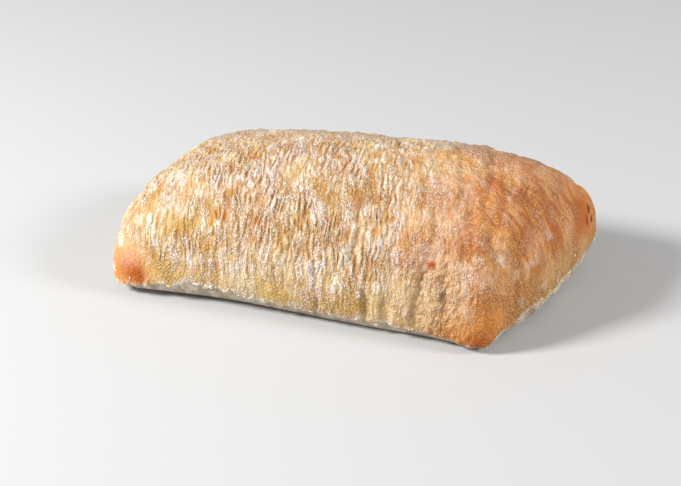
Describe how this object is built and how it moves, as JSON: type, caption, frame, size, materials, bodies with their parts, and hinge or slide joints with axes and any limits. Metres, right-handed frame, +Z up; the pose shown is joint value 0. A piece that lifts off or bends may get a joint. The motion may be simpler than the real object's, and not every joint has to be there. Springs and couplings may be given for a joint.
{
  "type": "ciabatta loaf",
  "caption": "Slipper-shaped loaf of white bread with a domed, wrinkled, flour-dusted crust and a flat floury underside.",
  "frame": {"origin": "on the resting plane, under the middle of the loaf's box", "axes": "+Z up; +X along the loaf towards its browner, sharper-cornered end; -Y is the side that faces the camera"},
  "size_m": [0.192, 0.1088, 0.0606],
  "materials": {
    "crust": "matte baked crust, cream to golden brown, with white flour on the ridges and a pale floury underside"
  },
  "bodies": {
    "root": {"loaf": "crust"}
  },
  "joints": []
}
